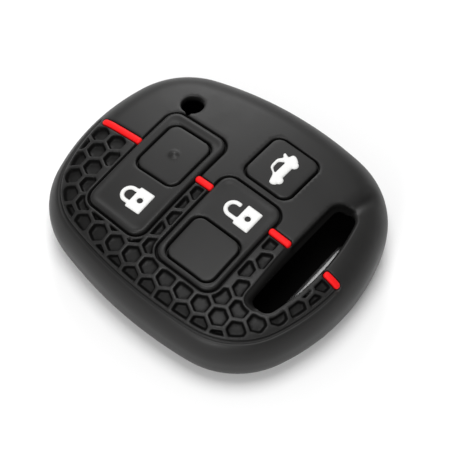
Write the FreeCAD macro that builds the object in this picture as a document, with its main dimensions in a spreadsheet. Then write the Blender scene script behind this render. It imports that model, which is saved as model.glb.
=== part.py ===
"""Soft moulded cover for the head of a car key.

X runs along the key, from the blade end to the ring end. Y runs across it, and Z points up out of
the button face. The origin is on the resting face, under the middle of the cover. Lengths are in
millimetres.

The outside, the inside and every relief depth are one rounded pebble form at different insets, so
each skin has an even thickness.
"""
import FreeCAD, Part
import math
import os

import Sketcher

os.makedirs("parts", exist_ok=True)
doc = FreeCAD.newDocument("key_cover")
sizes = doc.addObject("Spreadsheet::Sheet", "sizes")

SIZES = (
    # outside of the cover
    ("cover_length", 56.4),
    ("cover_width", 47.5),
    ("cover_height", 14.9),
    ("nose_radius", 38.1),
    ("tail_radius", 36.3),
    ("side_radius", 76.9),
    ("side_x", 4.4),
    ("nose_corner_radius", 14.6),
    ("tail_corner_radius", 15.4),
    ("crown_radius", 134.0),
    ("crown_x", 2.7),
    ("top_edge_radius", 6.3),
    ("base_edge_radius", 5.7),
    ("wall", 1.5),
    ("relief_depth", 0.45),
    ("overrun", 2.0),
    # raised fields round the two larger keys
    ("field_raise", 0.35),
    ("field_corner_radius", 2.2),
    ("moat_width", 0.5),
    ("lock_field_x", -10.55),
    ("lock_field_y", -2.9),
    ("lock_field_length", 12.4),
    ("lock_field_width", 23.4),
    ("lock_field_slant", 0.9),
    ("unlock_field_x", 5.35),
    ("unlock_field_y", -5.7),
    ("unlock_field_length", 12.3),
    ("unlock_field_width", 19.4),
    # button pads, with the web that carries each one
    ("pad_corner_radius", 1.7),
    ("pad_gap", 0.4),
    ("lock_pad_x", -10.3),
    ("lock_pad_y", 1.2),
    ("lock_pad_length", 8.6),
    ("lock_pad_width", 10.5),
    ("unlock_pad_x", 5.45),
    ("unlock_pad_y", -9.75),
    ("unlock_pad_length", 9.5),
    ("unlock_pad_width", 8.9),
    ("trunk_pad_x", 5.35),
    ("trunk_pad_y", 10.8),
    ("trunk_pad_length", 9.3),
    ("trunk_pad_width", 9.7),
    ("web_thickness", 0.5),
    ("web_clearance", 0.1),
    ("boss_diameter", 4.0),
    ("boss_height", 0.8),
    ("nib_diameter", 1.7),
    ("nib_height", 0.35),
    # lamp hole, key ring slot and key mouth
    ("lamp_x", -15.1),
    ("lamp_y", 11.7),
    ("lamp_diameter", 4.0),
    ("slot_x", 16.9),
    ("slot_width", 5.7),
    ("slot_length", 24.2),
    ("slot_bow_radius", 40.0),
    ("slot_corner_radius", 1.85),
    ("slot_border", 0.5),
    ("ledge_width", 1.6),
    ("ledge_taper", 0.7),
    ("ledge_end", 0.8),
    ("slot_back_step", 1.15),
    ("mouth_width", 25.0),
    ("mouth_height", 5.2),
    ("mouth_z", 4.6),
    ("mouth_reach", 8.0),
    # honeycomb panel and the groove round its rim
    ("rim_inset", 1.75),
    ("rim_width", 0.5),
    ("panel_border", 0.4),
    ("cell_pitch", 3.67),
    ("cell_row", 3.1),
    ("cell_wall", 0.7),
    ("cell_depth", 0.9),
    ("cell_x", 0.26),
    ("cell_y", -17.51),
    ("cell_turn", 1.06),
    # coloured inlays
    ("stripe_y", 0.05),
    ("stripe_width", 1.2),
    ("stripe_raise", 0.25),
    ("stripe_end_radius", 0.5),
    ("nose_stripe_length", 8.65),
    ("tail_stripe_length", 3.1),
    ("stripe_slot_gap", 1.0),
    ("symbol_raise", 0.2),
    ("lock_symbol_x", -10.3),
    ("lock_symbol_y", -9.3),
    ("unlock_symbol_x", 6.0),
    ("unlock_symbol_y", -0.9),
    ("padlock_length", 4.4),
    ("padlock_height", 3.1),
    ("shackle_diameter", 3.4),
    ("shackle_line", 0.8),
    ("shackle_leg", 0.7),
    ("shackle_lift", 0.8),
    ("keyhole_diameter", 1.0),
    ("trunk_symbol_x", 5.5),
    ("trunk_symbol_y", 10.6),
    ("car_length", 7.2),
    ("car_height", 3.8),
)
for row, (alias, value) in enumerate(SIZES, 1):
    sizes.set(f"A{row}", alias)
    sizes.set(f"B{row}", str(value))
    sizes.setAlias(f"B{row}", alias)
doc.recompute()

UP = FreeCAD.Vector(0, 0, 1)
MIDDLE_HEIGHT = "sizes.cover_height / 2"
HALF_PASS = "sizes.cover_height / 2 + sizes.overrun"
# A clipped honeycomb cell smaller than this share of a whole one is left as plain skin.
SMALLEST_CELL_SHARE = 0.15


def worth(text):
    """The number that an expression on the sheet gives."""
    return float(sizes.evalExpression(text))


def bind(thing, **texts):
    """Binds properties to expressions; a double underscore in a name stands for a dot."""
    for name, text in texts.items():
        thing.setExpression(name.replace("__", "."), text)


def flat_sketch(body, role, label):
    """A sketch on one of its own body's origin planes."""
    plane = next(item for item in body.Origin.OriginFeatures if item.Role == role)
    sketch = body.newObject("Sketcher::SketchObject", label)
    sketch.AttachmentSupport = (plane, [""])
    sketch.MapMode = "FlatFace"
    return sketch


def hold(sketch, kind, text, *where):
    """Adds one dimension to a sketch and binds it to an expression."""
    number = sketch.addConstraint(Sketcher.Constraint(kind, *where, worth(text)))
    sketch.setExpression(f"Constraints[{number}]", text)


def hold_point(sketch, edge, end, x, y):
    """Fixes a sketch point at bound distances from the sketch's origin."""
    hold(sketch, "DistanceX", x, -1, 1, edge, end)
    hold(sketch, "DistanceY", y, -1, 1, edge, end)


def cut(label, base, tool):
    result = doc.addObject("Part::Cut", label)
    result.Base = base
    result.Tool = tool
    return result


def common(label, base, tool):
    result = doc.addObject("Part::Common", label)
    result.Base = base
    result.Tool = tool
    return result


def fuse(label, *pieces):
    result = doc.addObject("Part::MultiFuse", label)
    result.Shapes = list(pieces)
    return result


def cylinder(label, x, y, z, diameter, height):
    result = doc.addObject("Part::Cylinder", label)
    bind(result, Radius=f"({diameter}) / 2", Height=height)
    bind(result, Placement__Base__x=x, Placement__Base__y=y, Placement__Base__z=z)
    return result


def upper_cylinder(label, x, y, diameter):
    """A cylinder from the cover's middle height to above it."""
    return cylinder(label, x, y, MIDDLE_HEIGHT, diameter, HALF_PASS)


def pad_half(body, sketch, label, low):
    """Extrudes a plan outline through one half of the cover's height."""
    bind(sketch, AttachmentOffset__Base__z=low)
    pad = body.newObject("PartDesign::Pad", label + "_pad")
    pad.Profile = sketch
    bind(pad, Length=HALF_PASS)
    doc.recompute()
    return pad


def round_upright_edges(body, pad, label, radius):
    upright = [
        f"Edge{number}"
        for number, edge in enumerate(pad.Shape.Edges, 1)
        if edge.BoundBox.ZLength > worth(MIDDLE_HEIGHT)
    ]
    rounding = body.newObject("PartDesign::Fillet", label + "_corners")
    rounding.Base = (pad, upright)
    bind(rounding, Radius=radius)
    doc.recompute()


def prism(label, corners, radius=None):
    """A straight-sided tool for the button face; each corner is a pair of expressions."""
    body = doc.addObject("PartDesign::Body", label)
    sketch = flat_sketch(body, "XY_Plane", label + "_outline")
    points = [FreeCAD.Vector(worth(x), worth(y), 0) for x, y in corners]
    count = len(points)
    for number, point in enumerate(points):
        sketch.addGeometry(Part.LineSegment(point, points[(number + 1) % count]))
    for number in range(count):
        sketch.addConstraint(Sketcher.Constraint("Coincident", number, 2, (number + 1) % count, 1))
    for number, (x, y) in enumerate(corners):
        hold_point(sketch, number, 1, x, y)
    pad = pad_half(body, sketch, label, MIDDLE_HEIGHT)
    if radius:
        round_upright_edges(body, pad, label, radius)
    return body


def rectangle(x_low, x_high, y_low, y_high):
    return ((x_low, y_low), (x_high, y_low), (x_high, y_high), (x_low, y_high))


def named_rectangle(name, grow="0", slant="0"):
    """Corners of a field or pad from its sizes, grown all round; the low edge may slant."""
    x_low = f"sizes.{name}_x - sizes.{name}_length / 2 - ({grow})"
    x_high = f"sizes.{name}_x + sizes.{name}_length / 2 + ({grow})"
    y_low = f"sizes.{name}_y - sizes.{name}_width / 2 - ({grow})"
    y_high = f"sizes.{name}_y + sizes.{name}_width / 2 + ({grow})"
    raised = f"{y_low} + ({slant}) / 2"
    lowered = f"{y_low} - ({slant}) / 2"
    return ((x_low, raised), (x_high, lowered), (x_high, y_high), (x_low, y_high))


def circles_meet(centre_a, radius_a, centre_b, radius_b, pick):
    """The one of two circles' meeting points that scores highest."""
    gap = (centre_b - centre_a).Length
    along = (radius_a ** 2 - radius_b ** 2 + gap ** 2) / (2 * gap)
    aside = math.sqrt(radius_a ** 2 - along ** 2)
    forward = (centre_b - centre_a) / gap
    sideways = FreeCAD.Vector(-forward.y, forward.x, 0)
    foot = centre_a + forward * along
    return max((foot + sideways * aside, foot - sideways * aside), key=pick)


def heading(centre, point):
    return math.atan2(point.y - centre.y, point.x - centre.x)


def mirrored(point):
    return FreeCAD.Vector(point.x, -point.y, 0)


def draw_outline(sketch, inset):
    """Eight tangent arcs round the cover, all moved inwards by the same inset."""
    size = {name: worth(f"sizes.{name}") for name, _ in SIZES}
    nose = FreeCAD.Vector(size["nose_radius"] - size["cover_length"] / 2, 0, 0)
    tail = FreeCAD.Vector(size["cover_length"] / 2 - size["tail_radius"], 0, 0)
    side = FreeCAD.Vector(size["side_x"], size["cover_width"] / 2 - size["side_radius"], 0)
    small = size["nose_corner_radius"]
    nose_corner = circles_meet(
        nose, size["nose_radius"] - small, side, size["side_radius"] - small, lambda p: p.y - p.x)
    small = size["tail_corner_radius"]
    tail_corner = circles_meet(
        tail, size["tail_radius"] - small, side, size["side_radius"] - small, lambda p: p.y + p.x)
    tail_turn = heading(tail, tail_corner)
    side_start = heading(side, tail_corner)
    side_end = heading(side, nose_corner)
    nose_turn = heading(nose, nose_corner)
    whole = 2 * math.pi
    arcs = (
        (tail, "tail_radius", -tail_turn, tail_turn),
        (tail_corner, "tail_corner_radius", tail_turn, side_start),
        (side, "side_radius", side_start, side_end),
        (nose_corner, "nose_corner_radius", side_end, nose_turn),
        (nose, "nose_radius", nose_turn, whole - nose_turn),
        (mirrored(nose_corner), "nose_corner_radius", whole - nose_turn, whole - side_end),
        (mirrored(side), "side_radius", whole - side_end, whole - side_start),
        (mirrored(tail_corner), "tail_corner_radius", whole - side_start, whole - tail_turn),
    )
    for centre, radius, start, end in arcs:
        circle = Part.Circle(centre, UP, size[radius] - worth(inset))
        sketch.addGeometry(Part.ArcOfCircle(circle, start, end))
    for number in range(len(arcs)):
        following = (number + 1) % len(arcs)
        sketch.addConstraint(Sketcher.Constraint("Tangent", number, 2, following, 1))
    for number, (_, radius, _, _) in enumerate(arcs):
        hold(sketch, "Radius", f"sizes.{radius} - ({inset})", number)
    tail_arc, side_arc, nose_arc, far_side_arc = 0, 2, 4, 6
    hold_point(sketch, tail_arc, 3, "sizes.cover_length / 2 - sizes.tail_radius", "0")
    hold_point(sketch, nose_arc, 3, "sizes.nose_radius - sizes.cover_length / 2", "0")
    hold_point(sketch, side_arc, 3, "sizes.side_x", "sizes.cover_width / 2 - sizes.side_radius")
    hold_point(sketch, far_side_arc, 3, "sizes.side_x", "sizes.side_radius - sizes.cover_width / 2")


def outline_prism(label, inset):
    """A straight-sided tool for the button face, over the cover's outline at an inset."""
    body = doc.addObject("PartDesign::Body", label)
    sketch = flat_sketch(body, "XY_Plane", label + "_outline")
    draw_outline(sketch, inset)
    pad_half(body, sketch, label, MIDDLE_HEIGHT)
    return body


def crown_profile(body, label, inset):
    """A band above the domed top, drawn round the dome's own centre."""
    sketch = flat_sketch(body, "YZ_Plane", label + "_crown_profile")
    bind(sketch, AttachmentOffset__Base__y="sizes.cover_height - sizes.crown_radius")
    bind(sketch, AttachmentOffset__Base__z="sizes.crown_x")
    radii = (f"sizes.crown_radius - ({inset})", "sizes.crown_radius + sizes.cover_height")
    half = math.asin(worth("sizes.cover_width / sizes.crown_radius"))
    start, end = math.pi / 2 - half, math.pi / 2 + half
    for radius in radii:
        circle = Part.Circle(FreeCAD.Vector(), UP, worth(radius))
        sketch.addGeometry(Part.ArcOfCircle(circle, start, end))
    for angle in (start, end):
        ray = FreeCAD.Vector(math.cos(angle), math.sin(angle), 0)
        inner, outer = (ray * worth(radius) for radius in radii)
        sketch.addGeometry(Part.LineSegment(inner, outer))
    lower_arc, upper_arc, first_ray, last_ray = range(4)
    for ray, end_of_arc in ((first_ray, 1), (last_ray, 2)):
        sketch.addConstraint(Sketcher.Constraint("Coincident", ray, 1, lower_arc, end_of_arc))
        sketch.addConstraint(Sketcher.Constraint("Coincident", ray, 2, upper_arc, end_of_arc))
    for arc, radius in ((lower_arc, radii[0]), (upper_arc, radii[1])):
        sketch.addConstraint(Sketcher.Constraint("Coincident", arc, 3, -1, 1))
        hold(sketch, "Radius", radius, arc)
    return sketch


def pebble(label, inset):
    """The cover's rounded form, with every face moved inwards by the inset."""
    body = doc.addObject("PartDesign::Body", label)
    sketch = flat_sketch(body, "XY_Plane", label + "_outline")
    draw_outline(sketch, inset)
    bind(sketch, AttachmentOffset__Base__z=inset)
    pad = body.newObject("PartDesign::Pad", label + "_pad")
    pad.Profile = sketch
    bind(pad, Length=f"sizes.cover_height - 2 * ({inset}) + sizes.overrun")
    doc.recompute()
    crown = body.newObject("PartDesign::Groove", label + "_crown")
    crown.Profile = crown_profile(body, label, inset)
    crown.ReferenceAxis = (crown.Profile[0], ["H_Axis"])
    crown.Midplane = True
    bind(crown, Angle="2 * asin(sizes.cover_length / sizes.crown_radius)")
    doc.recompute()
    box = crown.Shape.BoundBox
    middle = (box.ZMin + box.ZMax) / 2
    edges = list(enumerate(crown.Shape.Edges, 1))
    top = body.newObject("PartDesign::Fillet", label + "_top_edge")
    top.Base = (crown, [f"Edge{number}" for number, edge in edges if edge.BoundBox.ZMin > middle])
    bind(top, Radius=f"sizes.top_edge_radius - ({inset})")
    doc.recompute()
    edges = enumerate(top.Shape.Edges, 1)
    base = body.newObject("PartDesign::Fillet", label + "_base_edge")
    base.Base = (top, [f"Edge{number}" for number, edge in edges if edge.BoundBox.ZMax < middle
                       and edge.BoundBox.ZLength < worth("sizes.wall") / 2])
    bind(base, Radius=f"sizes.base_edge_radius - ({inset})")
    doc.recompute()
    return body


def dome_height(inset, x, y):
    """Expression for the height of the domed top over a place in plan."""
    reach = f"(sizes.crown_radius - ({inset}))^2 - ({x} - sizes.crown_x)^2 - ({y})^2"
    return f"sizes.cover_height - sizes.crown_radius + sqrt({reach})"


def ring_slot(label, grow, step, low):
    """A tool for half of the key ring slot: a straight side, which may step in, and a bowed side."""
    body = doc.addObject("PartDesign::Body", label)
    sketch = flat_sketch(body, "XY_Plane", label + "_outline")
    half = f"(sizes.slot_length / 2 + ({grow}))"
    bow = f"(sizes.slot_bow_radius + ({grow}))"
    inner = f"sizes.slot_x - ({grow}) + ({step})"
    middle = f"sizes.slot_x + sizes.slot_width + ({grow})"
    end = f"{middle} - {bow} + sqrt({bow}^2 - {half}^2)"
    near, far = f"-{half}", half
    corners = ((end, near), (inner, near), (inner, far), (end, far))
    points = [FreeCAD.Vector(worth(x), worth(y), 0) for x, y in corners]
    for number in range(len(points) - 1):
        sketch.addGeometry(Part.LineSegment(points[number + 1], points[number]))
    lean = math.asin(worth(half) / worth(bow))
    centre = FreeCAD.Vector(worth(middle) - worth(bow), 0, 0)
    bowed = sketch.addGeometry(Part.ArcOfCircle(Part.Circle(centre, UP, worth(bow)), -lean, lean))
    bottom, straight, top = range(3)
    for first, second in ((bottom, straight), (straight, top)):
        sketch.addConstraint(Sketcher.Constraint("Coincident", first, 1, second, 2))
    sketch.addConstraint(Sketcher.Constraint("Coincident", bowed, 1, bottom, 2))
    sketch.addConstraint(Sketcher.Constraint("Coincident", bowed, 2, top, 1))
    hold_point(sketch, bottom, 2, *corners[0])
    hold_point(sketch, bottom, 1, *corners[1])
    hold_point(sketch, top, 2, *corners[2])
    hold_point(sketch, top, 1, *corners[3])
    hold(sketch, "Radius", bow, bowed)
    pad = pad_half(body, sketch, label, low)
    round_upright_edges(body, pad, label, f"sizes.slot_corner_radius + ({grow}) - ({step}) / 2")
    return body


def ledge_corners(grow):
    """Corners of the ledge, which narrows away from the stripes; grown towards the honeycomb."""
    wide = f"sizes.slot_x - sizes.ledge_width - ({grow})"
    narrow = f"{wide} + sizes.ledge_taper"
    high_x = "sizes.slot_x + sizes.slot_width / 2"
    low_y = f"-sizes.slot_length / 2 - sizes.ledge_end - ({grow})"
    high_y = "sizes.stripe_y + 2 * sizes.ledge_width"
    return (narrow, low_y), (high_x, low_y), (high_x, high_y), (wide, high_y)


def key_mouth():
    """A tool for the opening in the blade end: a box with round ends, lying along X."""
    start = "-sizes.cover_length / 2 - sizes.overrun"
    reach = "sizes.mouth_reach + sizes.overrun"
    side = "(sizes.mouth_width - sizes.mouth_height) / 2"
    middle = doc.addObject("Part::Box", "mouth_middle")
    bind(middle, Length=reach, Width=f"2 * {side}", Height="sizes.mouth_height")
    bind(middle, Placement__Base__x=start, Placement__Base__y=f"-{side}")
    bind(middle, Placement__Base__z="sizes.mouth_z - sizes.mouth_height / 2")
    pieces = [middle]
    for name, y in (("near", f"-{side}"), ("far", side)):
        end = cylinder(f"mouth_{name}_end", start, y, "sizes.mouth_z", "sizes.mouth_height", reach)
        end.Placement.Rotation = FreeCAD.Rotation(FreeCAD.Vector(0, 1, 0), 90)
        pieces.append(end)
    return fuse("mouth_tool", *pieces)


def honeycomb(panel):
    """Hexagonal cells, turned a little and clipped to the panel; stray slivers are left out."""
    pitch, row_step = worth("sizes.cell_pitch"), worth("sizes.cell_row")
    narrow = 1 - worth("sizes.cell_wall") / pitch
    third = row_step / 3
    hexagon = ((0, 2 * third), (-pitch / 2, third), (-pitch / 2, -third),
               (0, -2 * third), (pitch / 2, -third), (pitch / 2, third))
    box = panel.Shape.BoundBox
    lift = FreeCAD.Vector(0, 0, box.ZLength)
    whole = pitch * row_step * narrow ** 2 * box.ZLength
    start = FreeCAD.Vector(worth("sizes.cell_x"), worth("sizes.cell_y"), box.ZMin)
    turn = FreeCAD.Rotation(UP, worth("sizes.cell_turn"))
    reach = max(box.XLength, box.YLength)
    rows, columns = math.ceil(reach / row_step), math.ceil(reach / pitch)
    cells = []
    for row in range(-rows, rows + 1):
        shift = pitch / 2 * (row % 2)
        for column in range(-columns, columns + 1):
            corners = [FreeCAD.Vector(shift + column * pitch + x * narrow, row * row_step + y * narrow, 0)
                       for x, y in hexagon]
            points = [start + turn.multVec(corner) for corner in corners]
            face = Part.Face(Part.makePolygon(points + points[:1]))
            if not face.BoundBox.intersect(box):
                continue
            clipped = face.extrude(lift).common(panel.Shape)
            cells += [solid for solid in clipped.Solids if solid.Volume > SMALLEST_CELL_SHARE * whole]
    result = doc.addObject("Part::Feature", "cells")
    result.Shape = Part.makeCompound(cells)
    return result


def padlock(name, lift):
    """A plain padlock outline; its top points to the blade end, and a lift opens the shackle."""
    x, y = f"sizes.{name}_x", f"sizes.{name}_y"
    half = "sizes.padlock_length / 2"
    body = prism(f"{name}_body", rectangle(
        x, f"{x} + sizes.padlock_height", f"{y} - {half}", f"{y} + {half}"), "sizes.shackle_line / 2")
    outside = "sizes.shackle_diameter / 2"
    inside = "(sizes.shackle_diameter / 2 - sizes.shackle_line)"
    bend = f"{x} - sizes.shackle_leg - ({lift})"
    disc = upper_cylinder(f"{name}_disc", bend, y, f"2 * {outside}")
    eye = upper_cylinder(f"{name}_eye", bend, y, f"2 * {inside}")
    ring = cut(f"{name}_ring", disc, eye)
    upper = prism(f"{name}_ring_half", rectangle(
        f"{bend} - sizes.shackle_diameter", bend, f"{y} - sizes.shackle_diameter",
        f"{y} + sizes.shackle_diameter"))
    fixed_leg = prism(f"{name}_fixed_leg", rectangle(
        bend, f"{x} + sizes.shackle_line", f"{y} - {outside}", f"{y} - {inside}"))
    free_leg = prism(f"{name}_free_leg", rectangle(
        bend, f"{x} + sizes.shackle_line - ({lift}) * 2", f"{y} + {inside}", f"{y} + {outside}"))
    whole = fuse(f"{name}_whole", body, common(f"{name}_bend", ring, upper), fixed_leg, free_leg)
    keyhole = upper_cylinder(f"{name}_keyhole", f"{x} + sizes.padlock_height / 2", y,
                             "sizes.keyhole_diameter")
    return cut(f"{name}_tool", whole, keyhole)


CAR_SHARES = (
    (0.06, 0.16), (0.00, 0.30), (0.01, 0.50), (0.12, 0.56), (0.26, 0.65), (0.36, 0.95), (0.46, 1.00),
    (0.66, 1.00), (0.78, 0.82), (0.84, 0.96), (0.92, 0.94), (0.86, 0.66), (0.97, 0.62), (1.00, 0.48),
    (0.97, 0.34), (0.90, 0.16),
)
CAR_WINDOW_SHARES = ((0.37, 0.63), (0.43, 0.80), (0.58, 0.81), (0.67, 0.63))
CAR_WHEEL_PLACE_SHARES = (0.20, 0.77)
CAR_WHEEL_SHARE = 0.42


def car_corners(shares):
    """Corners of the car symbol: its nose points to low Y and its roof to the blade end."""
    foot = "sizes.trunk_symbol_x + sizes.car_height / 2"
    front = "sizes.trunk_symbol_y - sizes.car_length / 2"
    return [(f"{foot} - {up} * sizes.car_height", f"{front} + {along} * sizes.car_length")
            for along, up in shares]


def car_symbol():
    """Side view of a plain car with its boot lid up."""
    pieces = [prism("trunk_symbol_body", car_corners(CAR_SHARES))]
    wheel = f"{CAR_WHEEL_SHARE} * sizes.car_height"
    for number, share in enumerate(CAR_WHEEL_PLACE_SHARES, 1):
        (x, y), = car_corners([(share, CAR_WHEEL_SHARE / 2)])
        pieces.append(upper_cylinder(f"trunk_symbol_wheel_{number}", x, y, wheel))
    whole = fuse("trunk_symbol_whole", *pieces)
    window = prism("trunk_symbol_window", car_corners(CAR_WINDOW_SHARES))
    return cut("trunk_symbol_tool", whole, window)


# Forms at each depth
outer = pebble("outer", "0")
plateau = pebble("plateau", "-sizes.field_raise")
relief_floor = pebble("relief_floor", "sizes.relief_depth")
cell_floor = pebble("cell_floor", "sizes.cell_depth")
cavity = pebble("cavity", "sizes.wall")
web_top = pebble("web_top", "sizes.wall - sizes.web_thickness")
stripe_top = pebble("stripe_top", "-sizes.stripe_raise")
symbol_top = pebble("symbol_top", "-sizes.field_raise - sizes.symbol_raise")

# Fields, with the moat round each one
field_slants = {"lock_field": "sizes.lock_field_slant", "unlock_field": "0"}
raised, moats, kept_clear = [], [], []
for field, slant in field_slants.items():
    block = prism(field + "_block", named_rectangle(field, "0", slant), "sizes.field_corner_radius")
    wide = prism(field + "_wide_block", named_rectangle(field, "sizes.moat_width", slant),
                 "sizes.field_corner_radius + sizes.moat_width")
    clear = "sizes.moat_width + sizes.panel_border"
    clear_block = prism(field + "_clear_block", named_rectangle(field, clear, slant),
                        f"sizes.field_corner_radius + {clear}")
    raised.append(common(field, plateau, block))
    moats.append(cut(field + "_moat", wide, block))
    kept_clear.append(clear_block)

# Key ring slot, narrower through the back
front_slot = ring_slot("front_slot", "0", "0", MIDDLE_HEIGHT)
back_slot = ring_slot("back_slot", "0", "sizes.slot_back_step", "-sizes.overrun")
kept_clear.append(ring_slot("slot_clear_tool", "sizes.slot_border + sizes.panel_border", "0", MIDDLE_HEIGHT))

# Honeycomb panel on the near side of the stripes, with a ledge beside the slot
near_side = prism("near_side", rectangle(
    "-sizes.cover_length", "sizes.cover_length", "-sizes.cover_width", "sizes.stripe_y"))
ledge_block = prism("ledge_block", ledge_corners("0"), "sizes.ledge_width")
kept_clear.append(prism("ledge_clear_block", ledge_corners("sizes.panel_border"),
                        "sizes.ledge_width + sizes.panel_border"))
panel_top = "sizes.stripe_y - sizes.stripe_width / 2 - sizes.panel_border"
panel_side = prism("panel_side", rectangle(
    "-sizes.cover_length", "sizes.cover_length", "-sizes.cover_width", panel_top))
ledge = common("ledge", ledge_block, panel_side)
rim_inner = "sizes.rim_inset + sizes.rim_width"
rim_ring = cut("rim_ring", outline_prism("rim_outside", "sizes.rim_inset"),
               outline_prism("rim_inside", rim_inner))
rim = common("rim", rim_ring, near_side)
panel_outline = outline_prism("panel_outline", f"{rim_inner} + sizes.panel_border")
panel_area = common("panel_area", panel_outline, panel_side)
panel = cut("panel", panel_area, fuse("panel_clear", *kept_clear))
doc.recompute()
cells = honeycomb(panel)

# Red stripes: two between edges on the centre line, and two that run out over the ends
lock_near = "sizes.lock_field_x - sizes.lock_field_length / 2"
lock_far = "sizes.lock_field_x + sizes.lock_field_length / 2"
unlock_near = "sizes.unlock_field_x - sizes.unlock_field_length / 2"
unlock_far = "sizes.unlock_field_x + sizes.unlock_field_length / 2"
slot_near = "sizes.slot_x - sizes.stripe_slot_gap"
slot_far = "sizes.slot_x + sizes.slot_width + sizes.slot_border"
stripe_ends = {
    "red_stripe_nose": (f"{lock_near} - sizes.nose_stripe_length", lock_near),
    "red_stripe_middle": (lock_far, unlock_near),
    "red_stripe_slot": (unlock_far, slot_near),
    "red_stripe_tail": (slot_far, f"{slot_far} + sizes.tail_stripe_length"),
}
stripe_skin = cut("stripe_skin", stripe_top, relief_floor)
stripe_tools, stripes = [], []
for name, (start, end) in stripe_ends.items():
    tool = prism(name + "_tool", rectangle(
        start, end, "sizes.stripe_y - sizes.stripe_width / 2", "sizes.stripe_y + sizes.stripe_width / 2"),
        "sizes.stripe_end_radius")
    stripe_tools.append(tool)
    stripes.append(common(name, stripe_skin, tool))

# White symbols
symbol_tools = {
    "lock_symbol": padlock("lock_symbol", "0"),
    "unlock_symbol": padlock("unlock_symbol", "sizes.shackle_lift"),
    "trunk_symbol": car_symbol(),
}
symbol_skin = cut("symbol_skin", symbol_top, relief_floor)
symbols = [common(name, symbol_skin, tool) for name, tool in symbol_tools.items()]

# Buttons, each one a pad with a pressing boss beneath, and the webs that carry them
pad_skin = cut("pad_skin", plateau, cavity)
web_skin = cut("web_skin", web_top, cavity)
apertures, buttons, webs = [], [], []
for key in ("lock", "unlock", "trunk"):
    pad = key + "_pad"
    opening = prism(pad + "_opening", named_rectangle(pad, "sizes.pad_gap"),
                    "sizes.pad_corner_radius + sizes.pad_gap")
    hole = prism(pad + "_web_hole", named_rectangle(pad, "sizes.web_clearance"),
                 "sizes.pad_corner_radius + sizes.web_clearance")
    block = prism(pad + "_block", named_rectangle(pad), "sizes.pad_corner_radius")
    x, y = f"sizes.{pad}_x", f"sizes.{pad}_y"
    boss = cylinder(key + "_boss", x, y, f"{dome_height('sizes.wall', x, y)} - sizes.boss_height",
                    "sizes.boss_diameter", "sizes.boss_height + sizes.wall / 2")
    pieces = [common(key + "_pad", pad_skin, block), boss]
    if key == "lock":
        nib = doc.addObject("Part::Sphere", "lock_nib")
        nib_radius = "(sizes.nib_diameter^2 / 4 + sizes.nib_height^2) / (2 * sizes.nib_height)"
        nib_top = f"{dome_height('-sizes.field_raise', x, y)} + sizes.nib_height"
        bind(nib, Radius=nib_radius, Placement__Base__x=x, Placement__Base__y=y)
        bind(nib, Placement__Base__z=f"{nib_top} - {nib_radius}")
        pieces.append(nib)
    if key == "trunk":
        whole = fuse("trunk_button_whole", *pieces)
        recess = cut("trunk_symbol_recess", symbol_tools["trunk_symbol"], relief_floor)
        button = cut("trunk_button", whole, recess)
    else:
        button = fuse(key + "_button", *pieces)
    apertures.append(opening)
    buttons.append(button)
    webs.append(common(key + "_web", web_skin, cut(pad + "_web_ring", opening, hole)))

# Sleeve
lamp_hole = upper_cylinder("lamp_hole", "sizes.lamp_x", "sizes.lamp_y", "sizes.lamp_diameter")
cell_relief = cut("cell_relief", cells, cell_floor)
ledge_relief = cut("ledge_relief", ledge, cell_floor)
line_plan = fuse("line_plan", *moats, rim, *stripe_tools,
                 symbol_tools["lock_symbol"], symbol_tools["unlock_symbol"])
line_relief = cut("line_relief", line_plan, relief_floor)
hollow = fuse("hollow", cavity, *apertures, lamp_hole, front_slot, back_slot, key_mouth())
blank = fuse("blank", outer, *raised)
patterned = cut("patterned", blank, cell_relief)
lined = cut("lined", patterned, line_relief)
ledged = cut("ledged", lined, ledge_relief)
sleeve = cut("sleeve", ledged, hollow)
doc.recompute()

nodes = [sleeve, *buttons, *webs, *stripes, *symbols]
for thing in doc.Objects:
    if "Invalid" in thing.State or "Error" in thing.State:
        raise RuntimeError(f"{thing.Label} failed: {thing.State}")
for node in nodes:
    shape = node.Shape
    if shape.isNull() or not shape.isValid() or len(shape.Solids) != 1:
        raise RuntimeError(f"{node.Label} is not one good solid: {len(shape.Solids)}")
for node in nodes:
    node.Shape.exportStep(f"parts/{node.Label}.step")
    print(f"{node.Label}: {node.Shape.Volume:.2f} mm3")
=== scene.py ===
"""Looks of a soft moulded key cover: one silicone skin, three keys, red stripes and white symbols.

Lengths are millimetres until a piece is made, and metres in the finishes and on the stage. Places in
plan are complex numbers: the real part runs along the key to its ring end, the imaginary part across it.
"""
import math

import bmesh
import bpy
import numpy as np
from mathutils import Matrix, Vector
from mathutils.geometry import delaunay_2d_cdt


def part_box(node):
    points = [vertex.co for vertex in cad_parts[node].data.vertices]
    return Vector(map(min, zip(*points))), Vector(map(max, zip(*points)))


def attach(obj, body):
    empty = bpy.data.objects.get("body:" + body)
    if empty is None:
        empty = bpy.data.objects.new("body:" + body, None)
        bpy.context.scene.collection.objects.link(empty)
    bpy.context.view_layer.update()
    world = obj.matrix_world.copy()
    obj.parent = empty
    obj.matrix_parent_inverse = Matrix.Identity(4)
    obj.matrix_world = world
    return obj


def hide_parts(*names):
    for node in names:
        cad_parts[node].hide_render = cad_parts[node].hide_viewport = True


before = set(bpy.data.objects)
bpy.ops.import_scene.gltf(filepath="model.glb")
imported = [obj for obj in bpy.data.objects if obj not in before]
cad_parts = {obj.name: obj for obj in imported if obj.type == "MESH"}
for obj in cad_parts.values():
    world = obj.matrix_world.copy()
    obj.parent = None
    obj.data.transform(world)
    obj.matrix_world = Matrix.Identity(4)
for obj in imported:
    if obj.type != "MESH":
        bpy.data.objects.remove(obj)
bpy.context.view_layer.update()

MM = 0.001
FAINT = 1e-9

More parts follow.
